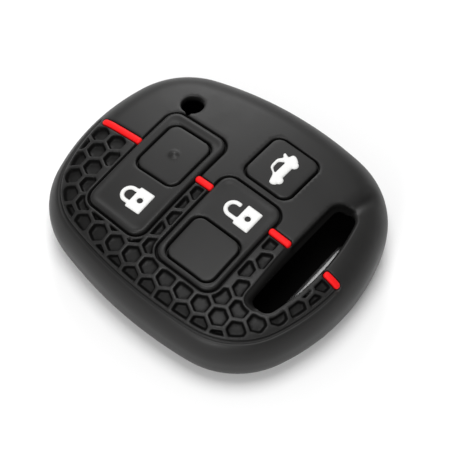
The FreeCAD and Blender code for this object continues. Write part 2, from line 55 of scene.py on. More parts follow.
# Outside of the cover
COVER_LENGTH, COVER_WIDTH, COVER_HEIGHT = 56.4, 47.5, 14.9
NOSE_RADIUS, TAIL_RADIUS, SIDE_RADIUS, SIDE_X = 38.1, 36.3, 76.9, 4.4
NOSE_CORNER_RADIUS, TAIL_CORNER_RADIUS = 14.6, 15.4
CROWN_RADIUS, CROWN_X = 134.0, 2.7
TOP_EDGE_RADIUS, BASE_EDGE_RADIUS = 6.3, 5.7
RING_INSET, BASE_INSET = 1.2, 3.2
WALL = 1.5

# Fields and keys; a field is given by its low and high x, then its low and high y
FIELD_CORNER_RADIUS, MOAT_WIDTH = 2.2, 0.5
LOCK_FIELD = (-16.75, -4.35, -14.6, 8.8)
LOCK_FIELD_SLANT = 0.9
UNLOCK_FIELD = (-0.8, 11.5, -15.4, 4.0)
FIELD_LEVEL, TRUNK_LEVEL = 0.18, 0.1
PAD_LEVELS = {"lock": FIELD_LEVEL, "unlock": FIELD_LEVEL, "trunk": TRUNK_LEVEL}
PAD_CORNER_RADIUS, PAD_GAP = 1.7, 0.4
WEB_THICKNESS, WEB_CLEARANCE, WEB_SAG = 0.5, 0.1, 0.12
BOSS_RADIUS, BOSS_HEIGHT, BOSS_ROUND = 2.0, 0.8, 0.4
NIB_RADIUS, NIB_HEIGHT = 1.2, 0.32

# Openings
LAMP_PLACE, LAMP_RADIUS, LAMP_CORE = -15.1 + 11.7j, 2.0, 0.05
NOTCH_END, NOTCH_HALF, NOTCH_RADIUS = -14.45 + 9.55j, 1.3, 0.2
SLOT_X, SLOT_WIDTH, SLOT_LENGTH = 16.9, 5.7, 24.2
SLOT_BOW_RADIUS, SLOT_CORNER_RADIUS, SLOT_BACK_STEP = 40.0, 1.85, 1.0
MOUTH_WIDTH, MOUTH_HEIGHT, MOUTH_Z, MOUTH_CORE = 25.0, 5.2, 4.6, 0.1

# Honeycomb panel with the groove round it, stripes, ledge beside the slot and valley at its upper end
RIM_INSET, RIM_WIDTH, PANEL_BORDER = 1.75, 0.5, 0.4
RIM_MIDDLE = RIM_INSET + RIM_WIDTH / 2
CELL_PITCH, CELL_ROW, CELL_WALL = 3.67, 3.1, 0.62
CELL_PLACE, CELL_TURN = 0.26 - 17.51j, math.radians(1.06)
CELL_SOFTNESS, SHALLOWEST_CELL = 0.08, 0.14
STRIPE_Y, STRIPE_WIDTH, STRIPE_RADIUS, STRIPE_GAP = 0.05, 1.2, 0.5, 0.1
STRIPE_EDGE = STRIPE_Y - STRIPE_WIDTH / 2
INLAY_DEPTH = 0.45
LEDGE_CORNERS, LEDGE_RADIUS = (16.0 - 12.9j, 19.75 - 12.9j, 19.75 + 3.25j, 15.3 + 3.25j), 1.6
CREASE_ENDS, CREASE_REACH, CREASE_DEPTH = (18.6 + 11.6j, 20.2 + 19.5j), 2.1, 0.5

# Cross-sections: distance out from an edge, or from the groove's middle, and height over the plain skin
FIELD_SECTION = ((-2.0, 0.18), (-1.6, 0.19), (-1.25, 0.23), (-0.95, 0.29), (-0.7, 0.33), (-0.45, 0.33),
                 (-0.25, 0.28), (-0.1, 0.16), (0.0, -0.05), (0.04, -0.45), (0.1, -0.7), (0.36, -0.7),
                 (0.43, -0.45), (0.48, -0.12), (0.55, -0.03), (0.68, 0.0))
OPENING_SECTION = ((0.0, -0.3), (0.03, -0.14), (0.09, -0.05), (0.2, 0.0))
PAD_SECTION = ((-0.34, 0.0), (-0.18, -0.02), (-0.08, -0.07), (-0.02, -0.15), (0.0, -0.3))
POCKET_SECTION = ((-0.9, -0.92), (-0.45, -0.90), (-0.24, -0.82), (-0.14, -0.66), (-0.07, -0.30),
                  (-0.02, -0.12), (0.04, -0.03), (0.12, 0.0))
RIM_SECTION = ((-0.02, -0.42), (0.12, -0.40), (0.20, -0.27), (0.28, -0.07), (0.42, 0.0))
STRIPE_SECTION = ((-0.9, 0.25), (-0.5, 0.25), (-0.28, 0.22), (-0.12, 0.14), (-0.03, 0.02), (0.0, -0.12))
STRIPE_BED_SECTION = ((-0.1, -0.45), (0.02, -0.36), (0.1, -0.1), (0.2, -0.02), (0.32, 0.0))
LEDGE_SECTION = ((-1.6, -1.25), (-1.1, -0.9), (-0.6, -0.62), (-0.2, -0.45), (-0.06, -0.32), (0.0, -0.12),
                 (0.08, -0.03), (0.18, 0.0))
SLOT_CRISP_SECTION = ((0.0, -0.5), (0.06, -0.22), (0.2, -0.06), (0.45, 0.0))
SLOT_STEEP_SECTION = ((0.0, -1.4), (0.4, -1.3), (0.6, -1.0), (0.72, -0.5), (0.82, -0.22), (0.98, -0.08),
                      (1.3, 0.0))
MOUTH_SECTION = ((0.0, -0.45), (0.06, -0.2), (0.2, -0.05), (0.45, 0.0))
NOTCH_SECTION = ((-0.2, -1.1), (0.0, -0.95), (0.06, -0.4), (0.14, -0.1), (0.26, 0.0))
PLAIN_SECTION = ((0.0, 0.0), (0.3, 0.0))

# Web round a key: distance out from the opening's edge, and depth below the web's own top
WEB_REACH = WEB_CLEARANCE - PAD_GAP
WEB_SECTION = ((0.0, 0.0), (WEB_REACH / 3, WEB_SAG), (2 * WEB_REACH / 3, WEB_SAG), (WEB_REACH, 0.0),
               (WEB_REACH, WEB_THICKNESS), (0.0, WEB_THICKNESS))

# Painted shade of the skin, darker and matt: from shallow to deep places, and in a cell by the distance
# from its edge
SHADE_NAME = "shade"
SHADE_SHALLOW, SHADE_DEEP = 0.15, 0.85
POCKET_SHADE = ((-0.8, 0.35), (-0.4, 0.5), (-0.24, 0.9), (-0.1, 1.0), (0.0, 0.6), (0.1, 0.0))

# Steps and counts of the meshes
OUTLINE_STEP, SIDE_STEP, ARC_STEP, FILL_STEP, LINING_STEP = 0.45, 0.4, 0.22, 0.62, 2.2
SLOPE_STEP, SEARCH_STEP, SEARCH_TURNS = 0.02, 0.2, 14
CELL_SPOKES, BOW_POINTS, SIDE_SAMPLES = 44, 41, 240
SIDE_STEPS, LINING_STEPS, BASE_LEVEL = (8, 2, 10), (3, 1, 4), 3.0
NIB_SHARES = (0.12, 0.25, 0.4, 0.55, 0.7, 0.85, 1.0)
RING_LEAST, MOUTH_CLEARANCE, WELD = 0.05, 0.6, 0.002
SHARP_ANGLE = math.radians(62)


def smooth(share):
    """Eases a share in at 0 and out at 1."""
    share = np.clip(share, 0, 1)
    return share * share * (3 - 2 * share)


def section(distance, pairs):
    """Height of a cross-section at some distances."""
    places, heights = zip(*pairs)
    return np.interp(distance, places, heights)


# Outline of the cover: five arcs over one half, mirrored for the other

def circles_meet(first, first_radius, second, second_radius, side):
    """One of the two places where two circles cross."""
    gap = abs(second - first)
    along = (first_radius ** 2 - second_radius ** 2 + gap ** 2) / (2 * gap)
    aside = math.sqrt(first_radius ** 2 - along ** 2)
    return first + (second - first) / gap * (along + side * 1j * aside)


def outline_arcs():
    """Centre, radius, start and end of each arc, from the ring end to the blade end."""
    nose = complex(NOSE_RADIUS - COVER_LENGTH / 2, 0)
    tail = complex(COVER_LENGTH / 2 - TAIL_RADIUS, 0)
    side = complex(SIDE_X, COVER_WIDTH / 2 - SIDE_RADIUS)
    nose_corner = circles_meet(nose, NOSE_RADIUS - NOSE_CORNER_RADIUS,
                               side, SIDE_RADIUS - NOSE_CORNER_RADIUS, -1)
    tail_corner = circles_meet(tail, TAIL_RADIUS - TAIL_CORNER_RADIUS,
                               side, SIDE_RADIUS - TAIL_CORNER_RADIUS, 1)
    tail_turn, nose_turn = np.angle(tail_corner - tail), np.angle(nose_corner - nose)
    side_start, side_end = np.angle(tail_corner - side), np.angle(nose_corner - side)
    return ((tail, TAIL_RADIUS, 0, tail_turn),
            (tail_corner, TAIL_CORNER_RADIUS, tail_turn, side_start),
            (side, SIDE_RADIUS, side_start, side_end),
            (nose_corner, NOSE_CORNER_RADIUS, side_end, nose_turn),
            (nose, NOSE_RADIUS, nose_turn, math.pi))


ARCS = outline_arcs()


def to_outline(plan):
    """Distance inside the outline, and the direction straight in from it."""
    upper = np.where(plan.imag < 0, plan.conj(), plan)
    inset = np.full(plan.shape, np.inf)
    inward = np.zeros(plan.shape, complex)
    for centre, radius, start, end in ARCS:
        out = upper - centre
        gap = radius - abs(out)
        angle = np.angle(out)
        nearer = (angle >= start) & (angle <= end) & (abs(gap) < abs(inset))
        inset = np.where(nearer, gap, inset)
        inward = np.where(nearer, -out / np.maximum(abs(out), FAINT), inward)
    return inset, np.where(plan.imag < 0, inward.conj(), inward)


def outline_feet():
    """Points round the outline and the direction straight in from each."""
    feet, inward = [], []
    for centre, radius, start, end in ARCS:
        count = math.ceil(radius * (end - start) / OUTLINE_STEP)
        ray = np.exp(1j * np.linspace(start, end, count, endpoint=False))
        feet.append(centre + radius * ray)
        inward.append(-ray)
    feet, inward = np.concatenate(feet), np.concatenate(inward)
    tip = complex(-COVER_LENGTH / 2, 0)
    feet = np.concatenate((feet, [tip], feet[:0:-1].conj()))
    inward = np.concatenate((inward, [1], inward[:0:-1].conj()))
    return feet, inward


# Rounded form of the cover, at any depth under its outside

def dome(plan, depth):
    """Height of the crown, which is part of a ball."""
    reach = (CROWN_RADIUS - depth) ** 2 - (plan.real - CROWN_X) ** 2 - plan.imag ** 2
    return COVER_HEIGHT - CROWN_RADIUS + np.sqrt(reach)


def top_height(plan, depth=0):
    """Height of the domed top with its rolled edge."""
    inset, inward = to_outline(plan)
    radius = TOP_EDGE_RADIUS - depth
    aside = TOP_EDGE_RADIUS - inset
    ball = plan + inward * aside
    lean = -((ball - CROWN_X) * inward.conj()).real / (CROWN_RADIUS - TOP_EDGE_RADIUS)
    rolled = dome(ball, TOP_EDGE_RADIUS) + np.sqrt(np.maximum(radius ** 2 - aside ** 2, 0))
    return np.where(aside > radius * lean, np.minimum(rolled, dome(plan, depth)), dome(plan, depth))


def lay(plan, lift, depth=0):
    """Points over a plan, lifted square off the top surface."""
    slope_x, slope_y = [(top_height(plan + step, depth) - top_height(plan - step, depth)) / 2 / SLOPE_STEP
                        for step in (SLOPE_STEP, 1j * SLOPE_STEP)]
    normal = np.stack((-slope_x, -slope_y, np.ones(plan.shape)), 1)
    normal /= np.linalg.norm(normal, axis=1)[:, None]
    points = np.stack((plan.real, plan.imag, top_height(plan, depth)), 1)
    return points + normal * np.broadcast_to(lift, plan.shape)[:, None]


def edge_height(feet, inward):
    """Height of the middle of the ball that rolls round the top edge."""
    return dome(feet + inward * TOP_EDGE_RADIUS, TOP_EDGE_RADIUS)


def edge_turn(radius, inset):
    """Angle that a rolled edge turns through before it has come in by some length."""
    return math.acos((radius - inset) / radius)


def side_points(feet, inward, level, depth, lift):
    """Points down the side: level 0 to 1 is the top edge, 1 to 2 the wall, 2 to 3 the base edge."""
    top_radius, base_radius = TOP_EDGE_RADIUS - depth, BASE_EDGE_RADIUS - depth
    middle = edge_height(feet, inward)
    up = edge_turn(top_radius, RING_INSET) * np.clip(1 - level, 0, 1)
    down = edge_turn(base_radius, BASE_INSET) * np.clip(level - 2, 0, 1)
    share = np.clip(level - 1, 0, 1)
    upper, lower = level < 1, level > 2
    lean = np.where(upper, np.cos(up), np.where(lower, np.cos(down), 1.0))
    rise = np.where(upper, np.sin(up), np.where(lower, -np.sin(down), 0.0))
    reach = np.where(upper, TOP_EDGE_RADIUS - top_radius * lean,
                     np.where(lower, BASE_EDGE_RADIUS - base_radius * lean, depth))
    height = np.where(upper, middle + top_radius * rise,
                      np.where(lower, BASE_EDGE_RADIUS + base_radius * rise,
                               middle + share * (BASE_EDGE_RADIUS - middle)))
    plan = feet + inward * (reach - lift * lean)
    return np.stack((plan.real, plan.imag, height + lift * rise), 1)


def to_line(plan, start, end):
    """Distance of each place from a straight line between two ends."""
    side = end - start
    along = np.clip(((plan - start) * np.conj(side)).real / abs(side) ** 2, 0, 1)
    return abs(plan - start - along * side)


class Plan:
    """A convex core grown by a radius all round; distances from it are negative inside."""

    def __init__(self, core, radius):
        self.core = np.asarray(core, complex)
        self.radius = radius
        way = np.roll(self.core, -1) - self.core
        self.out = -1j * way / abs(way)

    def loops(self):
        return [self.ring(0)]

    def distance(self, plan):
        nearest = np.full(plan.shape, np.inf)
        inside = np.ones(plan.shape, bool)
        for start, end, out in zip(self.core, np.roll(self.core, -1), self.out):
            nearest = np.minimum(nearest, to_line(plan, start, end))
            inside &= ((plan - start) * out.conjugate()).real < 0
        return np.where(inside, -nearest, nearest) - self.radius

    def ring(self, offset):
        """A closed loop at a distance from the shape, with as many points at every distance."""
        reach = self.radius + offset
        loop = []
        for number, corner in enumerate(self.core):
            before, after = self.out[number - 1], self.out[number]
            turn = np.angle(after / before)
            count = round(turn * self.radius / ARC_STEP)
            shares = np.linspace(0, 1, count + 1) if count else np.array([0.5])
            loop.extend(corner + reach * before * np.exp(1j * turn * shares))
            side = np.roll(self.core, -1)[number] - corner
            count = math.ceil(abs(side) / SIDE_STEP)
            loop.extend(corner + reach * after + side * np.arange(1, count) / count)
        return np.array(loop)

    def rings(self, pairs):
        return np.concatenate([self.ring(distance) for distance, _ in pairs])


def rounded_plan(corners, radius):
    """A convex shape with each of its corners rounded."""
    corners = np.array(corners)
    way = np.roll(corners, -1) - corners
    leaving = 1j * way / abs(way)
    arriving = np.roll(leaving, 1)
    facing = (leaving * arriving.conj()).real
    return Plan(corners + radius * (leaving + arriving) / (1 + facing), radius)


def block(x_low, x_high, y_low, y_high, radius, slant=0):
    """A box with round corners; its low side may lean."""
    return rounded_plan((complex(x_low, y_low + slant / 2), complex(x_high, y_low - slant / 2),
                         complex(x_high, y_high), complex(x_low, y_high)), radius)


def grown(box, margin):
    """A box with its sides moved out."""
    x_low, x_high, y_low, y_high = box
    return x_low - margin, x_high + margin, y_low - margin, y_high + margin


def node_box(node):
    """Sides of a node of the frame in plan, in millimetres."""
    low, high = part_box(node)
    return low.x / MM, high.x / MM, low.y / MM, high.y / MM


def slot_plan(step):
    """The key ring slot: straight on one side, which may step in, and bowed on the other."""
    radius = SLOT_CORNER_RADIUS - step / 2
    half = SLOT_LENGTH / 2 - radius
    bow = SLOT_BOW_RADIUS - radius
    lean = math.asin(half / bow)
    turns = np.linspace(-lean, lean, BOW_POINTS)
    bowed = SLOT_X + SLOT_WIDTH - SLOT_BOW_RADIUS + bow * np.exp(1j * turns)
    straight = SLOT_X + step + radius
    return Plan([complex(straight, -half), *bowed, complex(straight, half)], radius)


def notch_plan():
    """A wedge from the lamp hole to the lock field, narrow at its end."""
    way = NOTCH_END - LAMP_PLACE
    aside = 1j * way / abs(way) * NOTCH_HALF
    return Plan([LAMP_PLACE - aside, NOTCH_END, LAMP_PLACE + aside], NOTCH_RADIUS)


PADS = {key: node_box(key + "_button") for key in PAD_LEVELS}
STRIPES = {name: node_box(name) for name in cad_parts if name.startswith("red_stripe")}
fields = (block(*LOCK_FIELD, FIELD_CORNER_RADIUS, LOCK_FIELD_SLANT),
          block(*UNLOCK_FIELD, FIELD_CORNER_RADIUS))
openings = {key: block(*grown(box, PAD_GAP), PAD_CORNER_RADIUS + PAD_GAP) for key, box in PADS.items()}
beds = [block(*grown(box, STRIPE_GAP), STRIPE_RADIUS + STRIPE_GAP) for box in STRIPES.values()]
slot, back_slot = slot_plan(0), slot_plan(SLOT_BACK_STEP)
ledge = rounded_plan(LEDGE_CORNERS, LEDGE_RADIUS)
lamp = block(*grown((LAMP_PLACE.real, LAMP_PLACE.real, LAMP_PLACE.imag, LAMP_PLACE.imag), LAMP_RADIUS),
             LAMP_RADIUS - LAMP_CORE)
notch = notch_plan()
mouth = block(-MOUTH_WIDTH / 2, MOUTH_WIDTH / 2, MOUTH_Z - MOUTH_HEIGHT / 2, MOUTH_Z + MOUTH_HEIGHT / 2,
              MOUTH_HEIGHT / 2 - MOUTH_CORE)


# Honeycomb

def soft_most(*distances):
    """The largest of some distances, with round corners where two are alike."""
    stack = np.stack(distances) / CELL_SOFTNESS
    peak = stack.max(0)
    return CELL_SOFTNESS * (peak + np.log(np.exp(stack - peak).sum(0)))


def from_first_cell(plan):
    """Places as seen from the first cell, along its row and across it."""
    return (plan - CELL_PLACE) * np.exp(-1j * CELL_TURN)


def cell_distance(away, row, column):
    """How far places are outside the cell of a row and column."""
    third = CELL_ROW / 3
    slant = math.hypot(third, CELL_PITCH / 2)
    x = abs(away.real - CELL_PITCH / 2 * (row % 2) - column * CELL_PITCH)
    y = abs(away.imag - row * CELL_ROW)
    tip = (third * x + CELL_PITCH / 2 * y - third * CELL_PITCH) / slant
    return soft_most(x - CELL_PITCH / 2, tip) + CELL_WALL / 2


def cell_at(plan):
    """Row and column of the cell over each place, and how far the place is from the cell's edge."""
    away = from_first_cell(plan)
    best = np.full(plan.shape, np.inf)
    rows, columns = np.zeros(plan.shape, int), np.zeros(plan.shape, int)
    for step in (0, 1):
        row = np.floor(away.imag / CELL_ROW).astype(int) + step
        column = np.round((away.real - CELL_PITCH / 2 * (row % 2)) / CELL_PITCH).astype(int)
        edge = cell_distance(away, row, column)
        nearer = edge < best
        best = np.where(nearer, edge, best)
        rows, columns = np.where(nearer, row, rows), np.where(nearer, column, columns)
    return rows, columns, best


def panel_limits(plan):
    """How far each place is outside every limit of the panel that the cells fill."""
    inset, _ = to_outline(plan)
    clear = MOAT_WIDTH + PANEL_BORDER
    limits = [RIM_INSET + RIM_WIDTH + PANEL_BORDER - inset,
              plan.imag - (STRIPE_EDGE - PANEL_BORDER),
              PANEL_BORDER - ledge.distance(plan),
              clear - slot.distance(plan)]
    limits += [clear - field.distance(plan) for field in fields]
    return limits


def pocket_distance(plan):
    """How far each place is outside its cell, or outside the panel."""
    _, _, edge = cell_at(plan)
    return soft_most(edge, *panel_limits(plan))


def find_cells():
    """Deepest place of each cell that is large enough to be moulded."""
    x = np.arange(-COVER_LENGTH / 2, COVER_LENGTH / 2, SEARCH_STEP)
    y = np.arange(-COVER_WIDTH / 2, STRIPE_Y, SEARCH_STEP)
    plan = (x[None, :] + 1j * y[:, None]).ravel()
    inset, _ = to_outline(plan)
    plan = plan[inset > RIM_INSET]
    rows, columns, _ = cell_at(plan)
    depth = -pocket_distance(plan)
    deepest = {}
    for place, row, column, deep in zip(plan, rows, columns, depth):
        if deep > deepest.get((row, column), (SHALLOWEST_CELL, None))[0]:
            deepest[row, column] = (deep, place)
    return {cell: place for cell, (_, place) in deepest.items()}


cells = find_cells()


def cell_rings():
    """Loops in each cell at the distances of the pocket's section."""
    middles = np.array(list(cells.values()))[:, None, None]
    rows, columns, _ = cell_at(middles)
    rays = np.exp(2j * math.pi * np.arange(CELL_SPOKES) / CELL_SPOKES)[None, :, None]
    levels = np.array([distance for distance, _ in POCKET_SECTION])[None, None, :]
    near = np.zeros(np.broadcast(middles, rays, levels).shape)
    far = np.full(near.shape, CELL_PITCH)
    for _ in range(SEARCH_TURNS):
        reach = (near + far) / 2
        plan = middles + rays * reach
        own = cell_distance(from_first_cell(plan), rows, columns)
        beyond = soft_most(own, *panel_limits(plan)) > levels
        near, far = np.where(beyond, near, reach), np.where(beyond, reach, far)
    found = near > RING_LEAST
    return (middles + rays * near)[found]


def pockets(plan):
    """Height of the cells over the plain skin."""
    rows, columns, _ = cell_at(plan)
    kept = np.array([(row, column) in cells for row, column in zip(rows, columns)])
    return np.where(kept, section(pocket_distance(plan), POCKET_SECTION), 0.0)


# Relief of the button face

def field_relief(plan):
    """Height of the raised fields and of the moats round them."""
    return sum(section(field.distance(plan), FIELD_SECTION) * (field.distance(plan) < FIELD_SECTION[-1][0])
               for field in fields)


def slot_relief(plan):
    """Crisp edge, with a ledge on the honeycomb half and a steep drop at the straight side of the other."""
    away = slot.distance(plan)
    smooth_half = smooth((plan.imag - STRIPE_EDGE) / STRIPE_WIDTH)
    bowed_side = smooth((plan.real - SLOT_X - SLOT_WIDTH / 4) / SLOT_CORNER_RADIUS)
    crisp = section(away, SLOT_CRISP_SECTION)
    ledged = np.minimum(crisp, section(ledge.distance(plan), LEDGE_SECTION))
    steep = section(away, SLOT_STEEP_SECTION) * (1 - bowed_side) + crisp * bowed_side
    return ledged * (1 - smooth_half) + steep * smooth_half


def relief(plan):
    """Height of the moulded detail over the plain skin."""
    inset, _ = to_outline(plan)
    rim = section(abs(inset - RIM_MIDDLE), RIM_SECTION)
    rim = rim * smooth((STRIPE_Y + STRIPE_WIDTH / 2 - plan.imag) / STRIPE_WIDTH)
    cuts = [rim, pockets(plan), slot_relief(plan), section(lamp.distance(plan), OPENING_SECTION),
            section(notch.distance(plan), NOTCH_SECTION)]
    cuts += [section(bed.distance(plan), STRIPE_BED_SECTION) for bed in beds]
    raised = field_relief(plan)
    within = np.min([field.distance(plan) for field in fields], 0) < 0
    height = np.where(within, raised, np.minimum(raised, np.min(cuts, 0)))
    crease = smooth(1 - to_line(plan, *CREASE_ENDS) / CREASE_REACH)
    height = height - CREASE_DEPTH * crease * smooth((inset - RING_INSET) / CREASE_REACH)
    for opening in openings.values():
        height = height + section(opening.distance(plan), OPENING_SECTION)
    return height


def shade(plan, height):
    """How much painted shade each place gets, which makes it dark and matt: deep places get it, and the
    walls of the cells.
    """
    deep = smooth((-height - SHADE_SHALLOW) / (SHADE_DEEP - SHADE_SHALLOW))
    return np.where(pockets(plan) < 0, section(pocket_distance(plan), POCKET_SHADE), deep)


# Meshes

def inside_loop(loop, plan):
    """Which places lie inside a closed loop."""
    inside = np.zeros(plan.shape, bool)
    for start, end in zip(loop, np.roll(loop, -1)):
        across = (start.imag > plan.imag) != (end.imag > plan.imag)
        if across.any():
            share = (plan.imag - start.imag) / (end.imag - start.imag)
            inside ^= across & (plan.real < start.real + share * (end.real - start.real))
    return inside


def triangulate(loops, free):
    """Triangles over closed loops and free points; gives the plan, the faces and each loop's points."""
    corners, edges = [], []
    for loop in loops:
        first, count = len(corners), len(loop)
        corners.extend(loop)
        edges.extend((first + number, first + (number + 1) % count) for number in range(count))
    corners.extend(free)
    flat = [Vector((corner.real, corner.imag)) for corner in corners]
    places, _, faces, origins, _, _ = delaunay_2d_cdt(flat, edges, [], 0, FAINT)
    plan = np.array([complex(*place) for place in places])
    found = {origin: number for number, group in enumerate(origins) for origin in group}
    marks, first = [], 0
    for loop in loops:
        marks.append([found[first + number] for number in range(len(loop))])
        first += len(loop)
    return plan, np.array(faces), marks


def fill_points(step):
    """An even triangular grid over the cover."""
    rows = np.arange(-COVER_WIDTH / 2, COVER_WIDTH / 2, step * math.sqrt(3) / 2)
    columns = np.arange(-COVER_LENGTH / 2, COVER_LENGTH / 2, step)
    stagger = step / 2 * (np.arange(len(rows)) % 2)
    return (columns[None, :] + stagger[:, None] + 1j * rows[:, None]).ravel()


def plain_points(shaped):
    """The even grid, left out where the rings of a shaped edge already are."""
    free = fill_points(FILL_STEP)
    for shape, pairs in shaped:
        away = shape.distance(free)
        free = free[(away < pairs[0][0] - ARC_STEP) | (away > pairs[-1][0] + ARC_STEP)]
    return free


class Skin:
    """Gathers the faces of one piece."""

    def __init__(self):
        self.points, self.faces, self.shades = [], [], []

    def add(self, points, faces, turned=False, shades=0):
        """Adds faces over some points, turned over if wanted; gives the number of the first point."""
        first = len(self.points)
        self.points.extend(points)
        self.shades.extend(np.broadcast_to(shades, len(points)))
        self.faces.extend(tuple(first + corner for corner in face[::-1 if turned else 1]) for face in faces)
        return first

    def walls(self, upper, lower):
        """A band of faces between two loops of as many points."""
        count = len(upper)
        for number in range(count):
            following = (number + 1) % count
            self.faces.append((upper[number], upper[following], lower[following], lower[number]))

    def piece(self, name, finish, body, *nodes):
        """Makes the piece, with points that meet welded into one."""
        mesh = bpy.data.meshes.new(name)
        mesh.from_pydata([tuple(MM * value for value in point) for point in self.points], [], self.faces)
        # Each point's share of painted shade goes into an attribute that the finish reads
        mesh.attributes.new(SHADE_NAME, "FLOAT", "POINT").data.foreach_set("value", self.shades)
        shape = bmesh.new()
        shape.from_mesh(mesh)
        bmesh.ops.remove_doubles(shape, verts=shape.verts, dist=WELD * MM)
        bmesh.ops.dissolve_degenerate(shape, edges=shape.edges, dist=WELD * MM)
        shape.to_mesh(mesh)
        shape.free()
        dress(mesh, finish, body, *nodes)


def dress(mesh, finish, body, *nodes):
    """Makes a piece of a mesh, in its finish, on its body, in place of its nodes."""
    mesh.polygons.foreach_set("use_smooth", [True] * len(mesh.polygons))
    mesh.set_sharp_from_angle(angle=SHARP_ANGLE)
    mesh.materials.append(finish)
    piece = bpy.data.objects.new(mesh.name, mesh)
    bpy.context.scene.collection.objects.link(piece)
    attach(piece, body)
    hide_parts(*nodes)


def outside_of(shapes, plan, gap):
    """Which places are further than a gap from every shape."""
    return np.all([shape.distance(plan) > gap for shape in shapes], axis=0)


def top_skin(skin, depth, holes, free):
    """One surface of the top, with holes; gives the points of each hole's edge."""
    feet, inward = outline_feet()
    rim = feet + inward * (RING_INSET + depth)
    inset, _ = to_outline(free)
    free = free[(inset > RING_INSET + depth + ARC_STEP) & outside_of(holes, free, RING_LEAST / 2)]
    edges = [hole.ring(0) for hole in holes]
    plan, faces, marks = triangulate([rim, *edges], free)
    middles = plan[faces].mean(1)
    faces = faces[~np.any([inside_loop(edge, middles) for edge in edges], axis=0)]
    height = relief(plan) if depth == 0 else np.zeros(plan.shape)
    points = lay(plan, height, depth)
    points[marks[0]] = side_points(feet, inward, np.zeros(feet.shape), depth, 0)
    # The outside gets its painted shade; the lining inside is all in painted shade
    shades = shade(plan, height) if depth == 0 else 1
    first = skin.add(points, faces, turned=depth > 0, shades=shades)
    return [[first + mark for mark in loop] for loop in marks[1:]]


def side_skin(skin, depth, steps, lips):
    """The side from the top edge to the base, with the key mouth; gives the mouth's edge."""
    feet, inward = outline_feet()
    tip = len(feet) // 2
    feet, inward = np.append(feet, feet[0]), np.append(inward, inward[0])
    along = np.append(0, np.cumsum(abs(np.diff(feet))))
    top_radius, base_radius = TOP_EDGE_RADIUS - depth, BASE_EDGE_RADIUS - depth
    upright = edge_height(feet[tip], inward[tip]) - BASE_EDGE_RADIUS
    drops = np.cumsum((0, edge_turn(top_radius, RING_INSET) * top_radius, upright,
                       edge_turn(base_radius, BASE_INSET) * base_radius))

    def places(flat, lift):
        """Points on the side over places on a flat strip."""
        foot = np.interp(flat.real, along, feet)
        way = np.interp(flat.real, along, inward)
        level = np.interp(flat.imag, drops, range(len(drops)))
        return side_points(foot, way / abs(way), level, depth, lift)

    down = np.linspace(0, drops[-1], SIDE_SAMPLES)
    spine = places(along[tip] + 1j * down, 0)

    def unrolled(view):
        """Places on the flat strip for places seen from the blade end."""
        drop = np.interp(-view.imag, -spine[:, 2], down)
        inset = np.interp(drop, down, spine[:, 0]) - spine[:, 0].min()
        return along[tip] - NOSE_RADIUS * np.arcsin(view.real / (NOSE_RADIUS - inset - depth)) + 1j * drop

    levels = np.concatenate([np.linspace(low, high, count, endpoint=False)
                             for low, high, count in zip(drops, drops[1:], steps)] + [drops[-1:]])
    border = [along + 1j * levels[0], along[-1] + 1j * levels[1:-1],
              along[::-1] + 1j * levels[-1], along[0] + 1j * levels[-2:0:-1]]
    inner = (along[1:-1, None] + 1j * levels[None, 1:-1]).ravel()
    clear = mouth_distance(places(inner, 0)) > MOUTH_CLEARANCE
    rings = [unrolled(mouth.ring(distance)) for distance, _ in lips[1:]]
    edge = unrolled(mouth.ring(0))
    flat, faces, marks = triangulate([np.concatenate(border), edge], np.concatenate([inner[clear], *rings]))
    points = places(flat, 0)
    points = places(flat, section(mouth_distance(points), lips))
    faces = faces[~inside_loop(edge, flat[faces].mean(1))]
    # The lining inside is all in painted shade
    first = skin.add(points, faces, turned=depth == 0, shades=depth > 0)
    return [first + mark for mark in marks[1]]


def mouth_distance(points):
    """How far points are from the key mouth, seen from the blade end."""
    away = mouth.distance(points[:, 1] + 1j * points[:, 2])
    return np.where(points[:, 0] < 0, away, COVER_LENGTH)


def base_skin(skin, depth, lips):
    """The back with the ring slot; gives the slot's edge."""
    feet, inward = outline_feet()
    rim = feet + inward * (BASE_INSET + depth)
    insets = np.arange(BASE_INSET + depth, BASE_EDGE_RADIUS, FILL_STEP)
    rolled = [feet + inward * inset for inset in insets[1:]]
    free = np.concatenate((back_slot.rings(lips[1:]), fill_points(LINING_STEP), *rolled))
    inset, _ = to_outline(free)
    free = free[(inset > BASE_INSET + depth + ARC_STEP) & (back_slot.distance(free) > RING_LEAST / 2)]
    edge = back_slot.ring(0)
    plan, faces, marks = triangulate([rim, edge], free)
    faces = faces[~inside_loop(edge, plan[faces].mean(1))]
    inset, _ = to_outline(plan)
    aside = np.maximum(BASE_EDGE_RADIUS - inset, 0)
    height = BASE_EDGE_RADIUS - np.sqrt((BASE_EDGE_RADIUS - depth) ** 2 - aside ** 2)
    points = np.stack((plan.real, plan.imag, height - section(back_slot.distance(plan), lips)), 1)
    points[marks[0]] = side_points(feet, inward, np.full(feet.shape, BASE_LEVEL), depth, 0)
    # The lining inside is all in painted shade
    first = skin.add(points, faces, turned=depth == 0, shades=depth > 0)
    return [first + mark for mark in marks[1]]


def rim_lines():
    """Points along the groove that runs round the honeycomb half."""
    feet, inward = outline_feet()
    near = feet.imag < STRIPE_Y + STRIPE_WIDTH
    offsets = sorted({side * distance for distance, _ in RIM_SECTION for side in (-1, 1)})
    return np.concatenate([feet[near] + inward[near] * (RIM_MIDDLE + offset) for offset in offsets])


def clear_of_groove(plan):
    """Leaves out the places in the groove, which has lines of its own."""
    inset, _ = to_outline(plan)
    reach = RIM_SECTION[-1][0] + ARC_STEP
    return plan[(abs(inset - RIM_MIDDLE) >= reach) | (plan.imag >= STRIPE_Y)]


